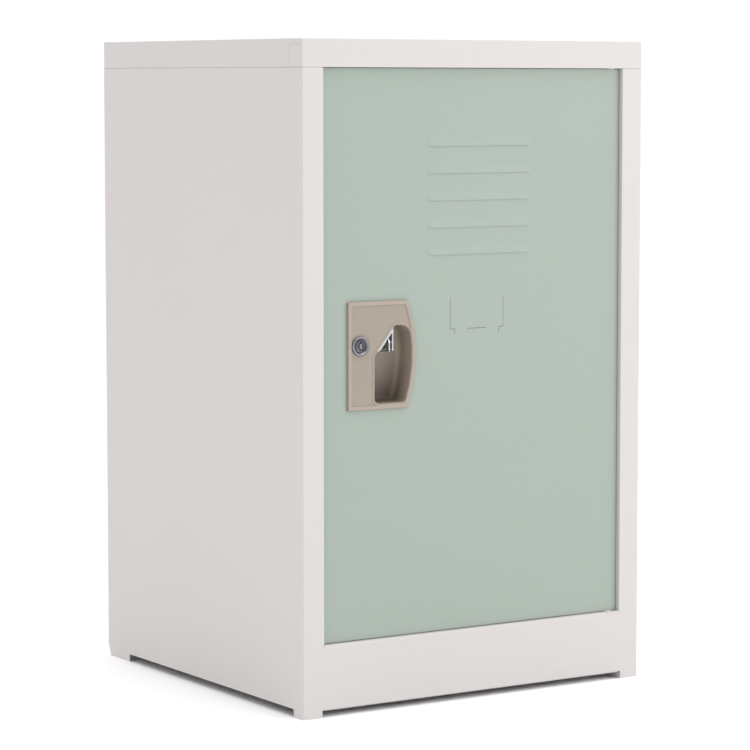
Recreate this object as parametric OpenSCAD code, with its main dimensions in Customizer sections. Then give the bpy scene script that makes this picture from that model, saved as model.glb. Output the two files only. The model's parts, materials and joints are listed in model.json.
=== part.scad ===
// Bedside cabinet: a knock-down sheet-steel compartment with one inset door,
// a moulded recessed pull handle, a cam lock and a padlock staple.
// Origin: centre of the footprint on the floor. +X right seen from the front,
// -Y towards the user, +Z up.

/* [Cabinet] */
// Overall width across the top cover
cabinet_w = 376; // [350:1:420]
// Overall depth across the top cover
cabinet_d = 377; // [340:1:420]
// Overall height from the floor to the top face
cabinet_h = 610; // [590:1:700]
// Thickness of every folded steel sheet
sheet_t = 0.8; // [0.6:0.1:1]
// Height of the top cover's skirt
cover_h = 25.5; // [24:0.5:32]
// Width of the front stiles beside the door
stile_w = 22.3; // [19:0.1:26]
// Depth of the stiles' returns
return_d = 18; // [16:0.5:19]
// Height of the bottom rail's top face
rail_top_z = 66; // [55:1:80]
// Height of the rail's lower edge above the floor
rail_low_z = 6; // [5:0.5:10]

/* [Feet] */
// Height of the side panels' lower edge above the floor
foot_h = 7.5; // [7:0.5:10]
// Length of a front foot along the side
front_foot_l = 17; // [14:1:30]
// Length of a rear foot along the side
rear_foot_l = 44.5; // [30:0.5:60]

/* [Door] */
// How far the door face lies behind the stiles
door_recess = 4.6; // [3:0.1:5]
// Depth of the folded door pan
door_depth = 16; // [14:0.5:18]
// Gap on the latch side
latch_gap = 1.2; // [1:0.1:2]
// Gap on the hinge side
hinge_gap = 0.65; // [0.6:0.05:1]
// Gap above the bottom rail
low_gap = 0.6; // [0.5:0.1:2]
// Gap below the top cover
top_gap = 0.5; // [0.5:0.1:2]
// Width of the inward lip round the door pan
door_lip = 8; // [6:0.5:12]
// Diameter of the hinge pins
pin_d = 4; // [3.5:0.1:4]
// Radial clearance of the door on its pins
pin_clearance = 0.05; // [0.02:0.01:0.1]
// Distance from the hinge axis to the hinge-side stile
hinge_inset = 9.5; // [9.5:0.5:14]
// Distance from the hinge axis back from the door face
hinge_back = 3; // [2.9:0.1:3]

/* [Louvres] */
// Number of louvres
louvre_count = 5; // [3:1:6]
// Length of one louvre
louvre_w = 115; // [80:1:140]
// Distance between louvres
louvre_pitch = 24.8; // [18:0.2:26]
// Height of one louvre
louvre_h = 9.5; // [7:0.5:12]
// How far a louvre's open edge stands out
louvre_out = 1.2; // [1:0.1:2.2]
// Lower edge of the lowest louvre
louvre_low_z = 414; // [400:0.5:430]

/* [Handle and lock] */
// Height of the handle plate
plate_h = 98.6; // [90:0.2:110]
// Width of the handle plate at its middle
plate_w = 73.2; // [68:0.2:80]
// How far the plate stands out of the door face
plate_t = 2.8; // [2.4:0.1:3]
// Depth of the finger cup from the plate's face
cup_depth = 22; // [18:0.5:22]
// Wall thickness of the cup
cup_wall = 1.6; // [1.2:0.1:2]
// Diameter of the lock's bezel
bezel_d = 18.4; // [17:0.2:20]
// Diameter of the lock's body
barrel_d = 16; // [14:0.5:16]
// Diameter of the turning plug
plug_d = 12.4; // [10:0.2:13]
// Length of the cam from the lock axis to its tip
cam_l = 46; // [44:0.5:48]

/* [Inside] */
// Diameter of the hanging rod
rod_d = 16; // [12:0.5:20]
// Height of the rod's axis
rod_z = 545; // [500:1:555]

/* [Hidden] */

$fn = 64;
eps = 0.05;
cut = 1;

// Frame of the cabinet
side_x = cabinet_w / 2;
front_y = -cabinet_d / 2;
head_t = 1.8;
rear_y = cabinet_d / 2 - head_t;
seam_z = cabinet_h - cover_h;
under_cover_z = cabinet_h - sheet_t;
side_top_z = seam_z - 0.3;
tongue_h = 16;
opening_x = side_x - stile_w;
return_y = front_y + return_d;
rear_flange_w = 18;
back_y = rear_y - sheet_t;
floor_z = rail_top_z - sheet_t;
floor_y = return_y + 0.2;
floor_flange_h = 22;
floor_screw_y = floor_y + 7.5;
foot_inner_x = opening_x + 2.2;
foot_return_d = 26;
foot_return_up = 6;

// Door stop lip behind the latch stile
stop_lip_w = 10;
stop_gap = 0.3;
bumper_t = 1.7;
bumper_d = 8;

// Door pan
door_y = front_y + door_recess;
door_back_y = door_y + door_depth;
door_left_x = -opening_x + latch_gap;
door_right_x = opening_x - hinge_gap;
door_low_z = rail_top_z + low_gap;
door_top_z = seam_z - top_gap;
stop_y = door_back_y + stop_gap + bumper_t;

// Hinges
hinge_x = opening_x - hinge_inset;
hinge_y = door_y + hinge_back;
bracket_t = 1.5;
bracket_left_x = hinge_x - 4.5;
bracket_back_y = return_y - 2;
bracket_play = 0.2;
pin_reach = 12;

// Louvres and card holder
louvre_x = 4.5;
louvre_edge = 1.2;
card_x = 2.5;
card_half_w = 29.5;
card_low_z = 345.5;
card_h = 29;
card_tab_w = 20;
card_foot = 5;
slit_w = 0.5;

// Handle
plate_left_x = -139;
plate_mid_z = 325.2;
plate_right_x = plate_left_x + plate_w;
plate_y = door_y - plate_t;
plate_sag = 9.3;
plate_edge_r = (pow(plate_h / 2, 2) + pow(plate_sag, 2)) / (2 * plate_sag);
plate_arc_x = plate_right_x - plate_edge_r;
plate_rim = 4.2;
plate_dish = 0.7;
cup_edge = 4.6;
cup_left_x = plate_left_x + 28.2;
cup_right_x = plate_right_x - cup_edge;
cup_low_z = plate_mid_z - 44;
cup_top_z = plate_mid_z + 26.6;
cup_bend_z = plate_mid_z - 0.7;
cup_back_y = plate_y + cup_depth;

// Lock
lock_x = -126.1;
lock_z = 334.4;
bezel_out = 1.4;
nut_t = 4;
nut_d = 22;
cam_t = 2.5;
cam_w = 16;
cam_y = stop_y + sheet_t + 1.5;
tail_d = 7;
barrel_end_y = cam_y - 1;

// Screws
screw_d = 4;
screw_head_d = 8;
hole_clearance = 0.2;
screw_hole_d = screw_d + 2 * hole_clearance;
back_screw_x = side_x - 9;
back_screw_zs = [90, 220, 350, 480, 594];
floor_screw_xs = [-120, 0, 120];
rail_screw_z = 36;
handle_screw_d = 3;
handle_screws_xz = [[-133.5, 281.5], [-133.5, 368.5], [-92, 366]];

// ---------------------------------------------------------------- helpers

// A rectangular block between two opposite corners.
module block(low, high) {
    translate(low) cube(high - low);
}

// A cylinder along Y from y0 to y1, centred on (x, z).
module rod_y(x, z, d, y0, y1) {
    translate([x, y0, z]) rotate([-90, 0, 0]) cylinder(d = d, h = y1 - y0);
}

// A cylinder along X from x0 to x1, centred on (y, z).
module rod_x(y, z, d, x0, x1) {
    translate([x0, y, z]) rotate([0, 90, 0]) cylinder(d = d, h = x1 - x0);
}

// Draws a shape given in (x, z) as a plate between y0 and y1.
module plate_y(y0, y1) {
    translate([0, y1, 0]) rotate([90, 0, 0]) linear_extrude(y1 - y0) children();
}

// A pan-head sheet screw: the head's flat underside is at the origin,
// the shank runs along +Z for the length.
module sheet_screw(length, d, head_d, head_h) {
    difference() {
        translate([0, 0, -head_h]) cylinder(d = head_d, h = head_h);
        translate([0, 0, -head_h - cut]) cylinder(d = head_d * 0.45, h = head_h * 0.5 + cut, $fn = 6);
    }
    cylinder(d = d, h = length);
}

// Copies its children to the left and right of the cabinet.
module both_sides() {
    children();
    mirror([1, 0, 0]) children();
}

// ---------------------------------------------------------------- cabinet

// Screw holes in a side panel's rear flange and in the back panel.
module back_screw_holes() {
    for (z = back_screw_zs)
        rod_y(-back_screw_x, z, screw_hole_d, back_y - 2 * cut, rear_y + cut);
}

// One folded side, drawn for the left: outer sheet, front stile with its
// return, set-in rear flange, two feet, and the tongues under the cover.
module side_panel(with_stop) {
    difference() {
        union() {
            side_sheet();
            block([-side_x, front_y, foot_h], [-opening_x, front_y + sheet_t, side_top_z]);
            block([-opening_x - sheet_t, front_y, foot_h], [-opening_x, return_y, side_top_z]);
            // the front of the foot and its own return
            block([-side_x, front_y, 0], [-foot_inner_x, front_y + sheet_t, foot_h + eps]);
            block([-foot_inner_x - sheet_t, front_y, 0],
                [-foot_inner_x, front_y + foot_return_d, foot_h + foot_return_up]);
            inner_tongues();
            if (with_stop) stop_lip();
        }
        back_screw_holes();
        rod_x(return_y - 8, rail_screw_z, screw_hole_d, -opening_x - 2, -opening_x + cut);
    }
}

// Strips inside the outer sheet: the rear flange, and the tongues that
// the top cover's skirt slips over.
module inner_tongues() {
    x0 = -side_x + sheet_t;
    y0 = front_y + sheet_t;
    low_z = seam_z - tongue_h;
    block([x0 - eps, back_y, foot_h], [-side_x + rear_flange_w, rear_y, side_top_z]);
    block([x0, back_y, side_top_z - eps], [-side_x + rear_flange_w, rear_y, under_cover_z]);
    block([x0 - eps, y0, low_z], [x0 + sheet_t, rear_y, side_top_z]);
    block([x0, y0, side_top_z - eps], [x0 + sheet_t, rear_y, under_cover_z]);
    block([x0, y0 - eps, low_z], [-opening_x, y0 + sheet_t, side_top_z]);
    block([x0, y0, side_top_z - eps], [-opening_x, y0 + sheet_t, under_cover_z]);
    block([-opening_x - sheet_t, y0, side_top_z - eps], [-opening_x, return_y, under_cover_z]);
}

// The outer sheet of a side with its front and rear feet.
module side_sheet() {
    rear_end_y = cabinet_d / 2;
    rear_foot_y = rear_end_y - rear_foot_l;
    translate([-side_x + sheet_t, 0, 0]) rotate([90, 0, -90]) linear_extrude(sheet_t) polygon([
        [-front_y, 0],
        [-front_y, side_top_z],
        [-rear_end_y, side_top_z],
        [-rear_end_y, 12.5],
        [-rear_end_y + 5.5, 0],
        [-rear_foot_y - 1.5, 0],
        [-rear_foot_y, foot_h],
        [-front_y - front_foot_l - 1.5, foot_h],
        [-front_y - front_foot_l, 0]
    ]);
}

// Inward lip behind the latch stile: the door's stop and the cam's keeper.
module stop_lip() {
    low_z = rail_top_z + 2;
    high_z = seam_z - 2;
    block([-opening_x - sheet_t, return_y - eps, low_z], [-opening_x, stop_y + sheet_t, high_z]);
    block([-opening_x - sheet_t, stop_y, low_z], [-opening_x + stop_lip_w, stop_y + sheet_t, high_z]);
}

module left_side_panel() {
    color("#e0dbd7") side_panel(true);
}

module right_side_panel() {
    color("#e0dbd7") mirror([1, 0, 0]) side_panel(false);
}

// Flat back, held behind the floor and in front of the side panels' flanges.
module back_panel() {
    inner_x = side_x - 2 * sheet_t - 0.2;
    color("#dcd7d3") difference() {
        block([-inner_x, back_y - sheet_t, rail_low_z + 2], [inner_x, back_y, under_cover_z - 0.2]);
        both_sides() back_screw_holes();
        for (x = floor_screw_xs)
            rod_y(x, floor_z - 10, screw_hole_d, back_y - 2 * cut, back_y + cut);
    }
}

// Top cover: flat top with a skirt on all four sides; the front skirt is
// the rail above the door and folds inwards along its lower edge.
module top_cover() {
    outer = [cabinet_w / 2, cabinet_d / 2];
    color("#e6e1dd") {
        difference() {
            union() {
                difference() {
                    block([-outer.x, -outer.y, seam_z], [outer.x, outer.y, cabinet_h]);
                    block([-outer.x + sheet_t, -outer.y + sheet_t, seam_z - cut],
                        [outer.x - sheet_t, outer.y - sheet_t, under_cover_z]);
                }
                block([-opening_x + 0.2, front_y, seam_z],
                    [opening_x - 0.2, return_y - 2, seam_z + sheet_t]);
            }
            // notch for the upper hinge bracket
            block([bracket_left_x - bracket_play, -outer.y - cut, seam_z - cut],
                [opening_x, return_y, seam_z + bracket_t]);
            // the rear skirt drops over the highest screw heads
            for (side = [-1, 1]) {
                screw_z = max(back_screw_zs);
                rod_y(side * back_screw_x, screw_z, screw_head_d + 1, rear_y, outer.y + cut);
                block([side * back_screw_x - screw_head_d / 2 - 0.5, rear_y, seam_z - cut],
                    [side * back_screw_x + screw_head_d / 2 + 0.5, outer.y + cut, screw_z]);
            }
        }
    }
}

// Compartment floor with three flanges folded down.
module floor_panel() {
    inner_x = side_x - sheet_t - 0.2;
    end_y = back_y - sheet_t;
    color("#dcd7d3") difference() {
        block([-inner_x, floor_y, floor_z - floor_flange_h], [inner_x, end_y, floor_z]);
        block([-inner_x + sheet_t, floor_y - cut, floor_z - floor_flange_h - cut],
            [inner_x - sheet_t, end_y - sheet_t, floor_z - sheet_t]);
        for (x = floor_screw_xs)
            rod_y(x, floor_z - 10, screw_hole_d, end_y - 2 * cut, end_y + cut);
        for (x = floor_screw_xs)
            translate([x, floor_screw_y, floor_z - cut]) cylinder(d = screw_hole_d, h = 2 * cut);
    }
}

// Kick rail below the door: front face, top flange under the door,
// bottom flange and two end flanges against the stiles' returns.
module bottom_rail() {
    end_x = opening_x - 0.2;
    top_flange_y = floor_y + 12;
    color("#e6e1dd") difference() {
        union() {
            block([-end_x, front_y, rail_low_z], [end_x, front_y + sheet_t, rail_top_z]);
            block([-end_x, front_y, rail_top_z - sheet_t], [end_x, top_flange_y, rail_top_z]);
            block([-end_x, front_y, rail_low_z], [end_x, front_y + 12, rail_low_z + sheet_t]);
            both_sides() block([-end_x, front_y, rail_low_z], [-end_x + sheet_t, return_y, rail_top_z]);
        }
        for (side = [-1, 1])
            rod_x(return_y - 8, rail_screw_z, screw_hole_d, side * end_x - 2, side * end_x + 2);
        for (x = floor_screw_xs)
            translate([x, floor_screw_y, rail_top_z - 2]) cylinder(d = screw_hole_d, h = 4);
        // notch that lets the lower hinge leaf lie flush with the rail's top
        block([bracket_left_x - bracket_play, front_y - cut, rail_top_z - bracket_t],
            [opening_x, bracket_back_y + bracket_play, rail_top_z + cut]);
    }
}

// A hinge leaf with the pin's hole; its right end is welded to the stile's
// return.
module hinge_leaf(low_z) {
    difference() {
        block([bracket_left_x, front_y, low_z], [opening_x, bracket_back_y, low_z + bracket_t]);
        translate([hinge_x, hinge_y, low_z - cut]) cylinder(d = pin_d, h = bracket_t + 2 * cut);
    }
}

module hinge_bracket_top() {
    color("#e6e1dd") {
        hinge_leaf(seam_z);
        block([bracket_left_x, bracket_back_y - bracket_t, seam_z + sheet_t],
            [opening_x - sheet_t, bracket_back_y, seam_z + 16]);
    }
}

module hinge_bracket_bottom() {
    color("#e6e1dd") hinge_leaf(rail_top_z - bracket_t);
}

module hinge_pin_top() {
    leaf_top_z = seam_z + bracket_t;
    color("#b8bbbe") translate([hinge_x, hinge_y, 0]) {
        translate([0, 0, leaf_top_z]) cylinder(d = pin_d + 3, h = 2);
        translate([0, 0, door_top_z - pin_reach])
            cylinder(d = pin_d, h = leaf_top_z - door_top_z + pin_reach + eps);
    }
}

module hinge_pin_bottom() {
    color("#b8bbbe") translate([hinge_x, hinge_y, rail_top_z - bracket_t])
        cylinder(d = pin_d, h = bracket_t + low_gap + pin_reach);
}

// Nylon washer round a pin between the leaf and the door.
module hinge_washer(low_z, thickness) {
    translate([hinge_x, hinge_y, low_z]) difference() {
        cylinder(d = pin_d + 5, h = thickness);
        translate([0, 0, -cut]) cylinder(d = pin_d, h = thickness + 2 * cut);
    }
}

module hinge_washer_top() {
    thickness = top_gap - 0.1;
    color("#f4f4f0") hinge_washer(seam_z - thickness, thickness);
}

module hinge_washer_bottom() {
    color("#f4f4f0") hinge_washer(rail_top_z, low_gap - 0.1);
}

module hanging_rod() {
    reach = side_x - sheet_t - 2;
    color("#c9cccf") difference() {
        rod_x(0, rod_z, rod_d, -reach, reach);
        rod_x(0, rod_z, rod_d - 2, -reach - cut, reach + cut);
    }
}

// Cup that carries one end of the rod, welded to the side panel.
module rod_socket() {
    wall_x = -side_x + sheet_t;
    difference() {
        union() {
            rod_x(0, rod_z, rod_d + 16, wall_x, wall_x + 1.5);
            rod_x(0, rod_z, rod_d + 4, wall_x, wall_x + 12);
        }
        rod_x(0, rod_z, rod_d + 0.1, wall_x + 1.8, wall_x + 12 + cut);
    }
}

module rod_socket_left() {
    color("#e0dbd7") rod_socket();
}

module rod_socket_right() {
    color("#e0dbd7") mirror([1, 0, 0]) rod_socket();
}

// Screws through the side panels' rear flanges into the back panel.
module back_screws() {
    color("#b8bbbe") both_sides() for (z = back_screw_zs)
        translate([-back_screw_x, rear_y, z]) rotate([90, 0, 0])
            sheet_screw(5, screw_d, screw_head_d, head_t);
}

// Screws through the bottom rail's end flanges and the stiles' returns.
module rail_screws() {
    inner_face_x = -opening_x + 0.2 + sheet_t;
    color("#b8bbbe") both_sides() translate([inner_face_x, return_y - 8, rail_screw_z])
        rotate([0, -90, 0]) sheet_screw(5, screw_d, screw_head_d, head_t);
}

// Screws that hold the floor: down through the rail's flange, and through
// the back panel into the floor's rear flange.
module floor_screws() {
    color("#b8bbbe") for (x = floor_screw_xs) {
        translate([x, floor_screw_y, rail_top_z]) rotate([180, 0, 0])
            sheet_screw(5, screw_d, screw_head_d, head_t);
        translate([x, back_y, floor_z - 10]) rotate([90, 0, 0])
            sheet_screw(5, screw_d, screw_head_d, head_t);
    }
}

// Rubber pads on the stop lip, where the door closes against it.
module stop_bumpers() {
    x = -opening_x + stop_lip_w - bumper_d / 2;
    color("#303030") for (z = [door_low_z + 40, door_top_z - 40])
        rod_y(x, z, bumper_d, stop_y - bumper_t, stop_y);
}

// ---------------------------------------------------------------- door

// The handle plate's outline in (x, z): straight left, top and bottom
// edges and a bowed right edge, pulled in by inset.
module plate_outline(inset) {
    intersection() {
        translate([plate_left_x + inset, plate_mid_z - plate_h / 2 + inset])
            square([plate_w, plate_h - 2 * inset]);
        translate([plate_arc_x, plate_mid_z]) circle(r = plate_edge_r - inset, $fn = 160);
    }
}

// The finger cup's outline in (x, z), grown outwards by grow: it leans over
// above cup_bend_z, and its upper right corner is cut for a wider curve.
module cup_outline(grow) {
    corner_r = 4.5;
    corner_cut = 8;
    offset(r = corner_r + grow, $fn = 32) offset(delta = -corner_r) intersection() {
        translate([plate_arc_x, plate_mid_z]) circle(r = plate_edge_r - cup_edge, $fn = 120);
        polygon([
            [cup_left_x, cup_low_z],
            [cup_right_x, cup_low_z],
            [cup_right_x, cup_top_z - corner_cut],
            [cup_right_x - corner_cut, cup_top_z],
            [cup_left_x + 22, cup_top_z],
            [cup_left_x, cup_bend_z]
        ]);
    }
}

// One louvre: a hood that opens downwards, drawn from its lower edge up.
module louvre_profile(thickness) {
    polygon([
        [0, 0],
        [louvre_out + thickness, 0],
        [louvre_out + thickness, louvre_edge],
        [thickness, louvre_h],
        [0, louvre_h]
    ]);
}

// Sweeps an (outwards, upwards) profile along a louvre's length.
module louvre_sweep(low_z, length) {
    translate([louvre_x + length / 2, door_y + sheet_t, low_z])
        rotate([90, 0, -90]) linear_extrude(length) children();
}

module louvre_hoods() {
    for (i = [0 : louvre_count - 1])
        louvre_sweep(louvre_low_z + i * louvre_pitch, louvre_w) louvre_profile(sheet_t);
}

module louvre_slots() {
    for (i = [0 : louvre_count - 1])
        louvre_sweep(louvre_low_z + i * louvre_pitch, louvre_w - 2 * sheet_t)
            polygon([
                [-cut, -cut],
                [louvre_out, -cut],
                [louvre_out, louvre_edge],
                [0, louvre_h - 1],
                [-cut, louvre_h - 1]
            ]);
}

// Slits round the pressed card holder: two uprights that step inwards at
// their lower ends, and a tab between them.
module card_slits() {
    y0 = door_y - cut;
    y1 = door_y + sheet_t + cut;
    for (side = [-1, 1]) {
        x = card_x + side * card_half_w;
        foot_x = x - side * card_foot;
        block([x - slit_w / 2, y0, card_low_z], [x + slit_w / 2, y1, card_low_z + card_h]);
        block([min(x, foot_x), y0, card_low_z - slit_w], [max(x, foot_x), y1, card_low_z + eps]);
        block([foot_x - slit_w / 2, y0, card_low_z - card_foot], [foot_x + slit_w / 2, y1, card_low_z]);
    }
    block([card_x - card_tab_w / 2, y0, card_low_z - slit_w], [card_x + card_tab_w / 2, y1, card_low_z]);
}

module door_panel() {
    color("#b6c3b8") difference() {
        union() {
            difference() {
                block([door_left_x, door_y, door_low_z], [door_right_x, door_back_y, door_top_z]);
                block([door_left_x + sheet_t, door_y + sheet_t, door_low_z + sheet_t],
                    [door_right_x - sheet_t, door_back_y - sheet_t, door_top_z - sheet_t]);
                block([door_left_x + door_lip, door_y + sheet_t, door_low_z + door_lip],
                    [door_right_x - door_lip, door_back_y + cut, door_top_z - door_lip]);
            }
            louvre_hoods();
        }
        louvre_slots();
        card_slits();
        // pin holes in the top and bottom flanges, and clearance through the lips
        translate([hinge_x, hinge_y, door_low_z - cut])
            cylinder(d = pin_d + 2 * pin_clearance, h = sheet_t + 2 * cut);
        translate([hinge_x, hinge_y, door_top_z - sheet_t - cut])
            cylinder(d = pin_d + 2 * pin_clearance, h = sheet_t + 2 * cut);
        plate_y(door_y - cut, door_y + 2 * cut) cup_outline(cup_wall + 0.4);
        rod_y(lock_x, lock_z, barrel_d + 1, door_y - cut, door_y + 2 * cut);
        for (p = handle_screws_xz)
            rod_y(p.x, p.y, handle_screw_d + 2 * hole_clearance, door_y - cut, door_y + 2 * cut);
    }
}

// Hat-shaped stiffener welded to the back of the door sheet.
module door_stiffener() {
    mid_x = 92;
    hat_w = 24;
    hat_h = 11;
    flange = 9;
    y0 = door_y + sheet_t;
    color("#b6c3b8") translate([mid_x, y0, door_low_z + 14]) linear_extrude(door_top_z - door_low_z - 28) {
        for (side = [-1, 1]) {
            translate([side > 0 ? hat_w / 2 : -hat_w / 2 - flange, 0]) square([flange, sheet_t]);
            translate([side > 0 ? hat_w / 2 - sheet_t : -hat_w / 2, 0]) square([sheet_t, hat_h]);
        }
        translate([-hat_w / 2, hat_h - sheet_t]) square([hat_w, sheet_t]);
    }
}

// Moulded handle: plate with a raised rim, a finger cup and the lock's hole.
module handle_shell() {
    color("#b8ab9c") difference() {
        union() {
            plate_y(plate_y, door_y) plate_outline(0);
            plate_y(plate_y + 1, cup_back_y + cup_wall) cup_outline(cup_wall);
        }
        // dished field inside the rim
        plate_y(plate_y - cut, plate_y + plate_dish) plate_outline(plate_rim);
        plate_y(plate_y - cut, cup_back_y) cup_outline(0);
        rod_y(lock_x, lock_z, bezel_d + 0.2, plate_y - cut, plate_y + plate_dish);
        rod_y(lock_x, lock_z, barrel_d + 0.2, plate_y - cut, door_y + cut);
        for (p = handle_screws_xz)
            rod_y(p.x, p.y, handle_screw_d, door_y - 1.2, door_y + cut);
    }
}

// Screws from behind the door sheet into the handle plate.
module handle_screws() {
    inner_y = door_y + sheet_t;
    color("#b8bbbe") for (p = handle_screws_xz)
        translate([p.x, inner_y, p.y]) rotate([90, 0, 0])
            sheet_screw(sheet_t + 1.2, handle_screw_d, 6, head_t);
}

// Bright staple for a padlock in the cup's upper corner: a plate with a
// leg back to the cup's wall and an ear with the shackle's hole.
module padlock_staple() {
    face_y = plate_y + 1.6;
    leg_x = cup_left_x + 20.8;
    low_z = plate_mid_z + 3.4;
    steel = 1.4;
    ear_x = leg_x - 6.4;
    color("#c4c7ca") {
        difference() {
            plate_y(face_y, face_y + steel) intersection() {
                offset(delta = -0.3) cup_outline(0);
                translate([plate_left_x, low_z]) square([leg_x - plate_left_x, 40]);
            }
            block([ear_x + 1.8, face_y - cut, low_z + 3.4], [leg_x - 1.8, face_y + steel + cut, low_z + 15]);
        }
        block([leg_x - steel, face_y, low_z], [leg_x, cup_back_y, low_z + 16]);
        difference() {
            block([ear_x, plate_y - 0.8, low_z], [ear_x + steel, face_y + 12, low_z + 12]);
            rod_x(face_y + 5.5, low_z + 6, 7.2, ear_x - cut, ear_x + steel + cut);
        }
    }
}

// Lock body: bezel in front of the plate and a barrel through it.
module lock_barrel() {
    color("#c4c7ca") difference() {
        union() {
            rod_y(lock_x, lock_z, bezel_d, plate_y - bezel_out, plate_y + plate_dish);
            rod_y(lock_x, lock_z, barrel_d, plate_y, barrel_end_y);
        }
        rod_y(lock_x, lock_z, plug_d + 0.12, plate_y - 4, barrel_end_y + cut);
    }
}

module lock_nut() {
    inner_y = door_y + sheet_t + 0.8;
    color("#b8bbbe") difference() {
        translate([lock_x, inner_y, lock_z]) rotate([-90, 0, 0]) cylinder(d = nut_d, h = nut_t, $fn = 6);
        rod_y(lock_x, lock_z, barrel_d, inner_y - cut, inner_y + nut_t + cut);
    }
}

module lock_washer() {
    inner_y = door_y + sheet_t;
    color("#b8bbbe") difference() {
        rod_y(lock_x, lock_z, nut_d - 1, inner_y, inner_y + 0.8);
        rod_y(lock_x, lock_z, barrel_d, inner_y - cut, inner_y + cut);
    }
}

// ---------------------------------------------------------------- lock core

// Turning plug with the keyway and the squared tail that drives the cam.
module lock_plug() {
    face_y = plate_y - bezel_out + 0.9;
    color("#a9adb1") difference() {
        union() {
            rod_y(lock_x, lock_z, plug_d, face_y, barrel_end_y);
            block([lock_x - tail_d / 2, barrel_end_y - eps, lock_z - tail_d / 2],
                [lock_x + tail_d / 2, cam_y + cam_t, lock_z + tail_d / 2]);
        }
        block([lock_x - 0.8, face_y - cut, lock_z - 3.6], [lock_x + 0.8, face_y + 9, lock_z + 3.6]);
        rod_y(lock_x, lock_z, 3, cam_y - 4, cam_y + cam_t + cut);
    }
}

// Flat cam; it hangs down at rest and points behind the stop lip when
// the plug has turned a quarter turn.
module lock_cam() {
    tip_cut = 3;
    color("#b8bbbe") difference() {
        union() {
            rod_y(lock_x, lock_z, cam_w + 2, cam_y, cam_y + cam_t);
            block([lock_x - cam_w / 2, cam_y, lock_z - cam_l + tip_cut],
                [lock_x + cam_w / 2, cam_y + cam_t, lock_z]);
            block([lock_x - cam_w / 2 + tip_cut, cam_y, lock_z - cam_l],
                [lock_x + cam_w / 2 - tip_cut, cam_y + cam_t, lock_z]);
        }
        block([lock_x - tail_d / 2, cam_y - cut, lock_z - tail_d / 2],
            [lock_x + tail_d / 2, cam_y + cam_t + cut, lock_z + tail_d / 2]);
    }
}

module cam_screw() {
    color("#b8bbbe") translate([lock_x, cam_y + cam_t, lock_z]) rotate([90, 0, 0])
        sheet_screw(5, 3, 10, head_t);
}

// ---------------------------------------------------------------- output

left_side_panel();
right_side_panel();
back_panel();
top_cover();
floor_panel();
bottom_rail();
hinge_bracket_top();
hinge_bracket_bottom();
hinge_pin_top();
hinge_pin_bottom();
hinge_washer_top();
hinge_washer_bottom();
hanging_rod();
rod_socket_left();
rod_socket_right();
back_screws();
rail_screws();
floor_screws();
stop_bumpers();
door_panel();
door_stiffener();
handle_shell();
handle_screws();
padlock_staple();
lock_barrel();
lock_nut();
lock_washer();
lock_plug();
lock_cam();
cam_screw();
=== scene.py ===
"""Bedside cabinet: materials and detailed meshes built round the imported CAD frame."""
import json
import math

import bmesh
import bpy
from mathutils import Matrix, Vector


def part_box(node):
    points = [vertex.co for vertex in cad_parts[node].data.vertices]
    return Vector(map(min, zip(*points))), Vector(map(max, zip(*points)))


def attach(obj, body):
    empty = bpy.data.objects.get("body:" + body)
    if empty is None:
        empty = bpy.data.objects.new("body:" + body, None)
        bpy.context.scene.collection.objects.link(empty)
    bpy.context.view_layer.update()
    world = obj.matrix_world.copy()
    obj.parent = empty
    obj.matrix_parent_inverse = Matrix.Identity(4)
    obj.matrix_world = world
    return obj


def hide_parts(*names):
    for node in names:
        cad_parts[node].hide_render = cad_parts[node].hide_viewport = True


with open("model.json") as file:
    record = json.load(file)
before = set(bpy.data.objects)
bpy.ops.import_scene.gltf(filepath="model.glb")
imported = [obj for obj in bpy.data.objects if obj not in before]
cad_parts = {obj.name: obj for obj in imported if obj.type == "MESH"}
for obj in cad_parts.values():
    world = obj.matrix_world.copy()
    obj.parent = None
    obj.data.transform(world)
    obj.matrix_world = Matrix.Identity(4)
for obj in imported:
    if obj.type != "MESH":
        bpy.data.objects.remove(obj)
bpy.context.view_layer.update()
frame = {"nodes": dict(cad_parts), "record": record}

MM = 0.001

# ------------------------------------------------------------------ sizes, from the frame

left_low, left_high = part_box("left_side_panel")
right_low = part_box("right_side_panel")[0]
cover_low, cover_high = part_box("top_cover")
rail_low, rail_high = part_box("bottom_rail")
floor_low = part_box("floor_panel")[0]
back_low, back_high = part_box("back_panel")
door_low, door_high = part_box("door_panel")
shell_low, shell_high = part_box("handle_shell")
staple_low, staple_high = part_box("padlock_staple")
barrel_low, barrel_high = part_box("lock_barrel")
plug_low, plug_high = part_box("lock_plug")
bumper_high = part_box("stop_bumpers")[1]
bracket_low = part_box("hinge_bracket_top")[0]
pin_low, pin_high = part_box("hinge_pin_bottom")
screw_low, screw_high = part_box("back_screws")

# gaps and widths that the folded sheets share
FLOOR_GAP = 0.2 * MM
SEAM_GAP = 0.08 * MM
TONGUE_H = 16 * MM
REAR_FLANGE_W = 18 * MM
RAIL_FLANGE_W = 12 * MM

SHEET = back_high.y - back_low.y
HALF = SHEET / 2
FRONT_Y = left_low.y
REAR_Y = left_high.y
SIDE_X = -left_low.x
OPENING_X = right_low.x
RETURN_Y = floor_low.y - FLOOR_GAP
SEAM_Z = cover_low.z
TOP_Z = cover_high.z
SIDE_TOP_Z = SEAM_Z - SEAM_GAP
TONGUE_LOW_Z = SEAM_Z - TONGUE_H
RAIL_TOP_Z = rail_high.z
STOP_Y = bumper_high.y
FLANGE_X = SIDE_X - REAR_FLANGE_W

# folds of the sheet steel
BEND_R = 0.9 * MM
RAIL_BEND_R = 2.2 * MM
EDGE_R = 0.18 * MM
TOP_CHAMFER = 0.36 * MM

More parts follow.
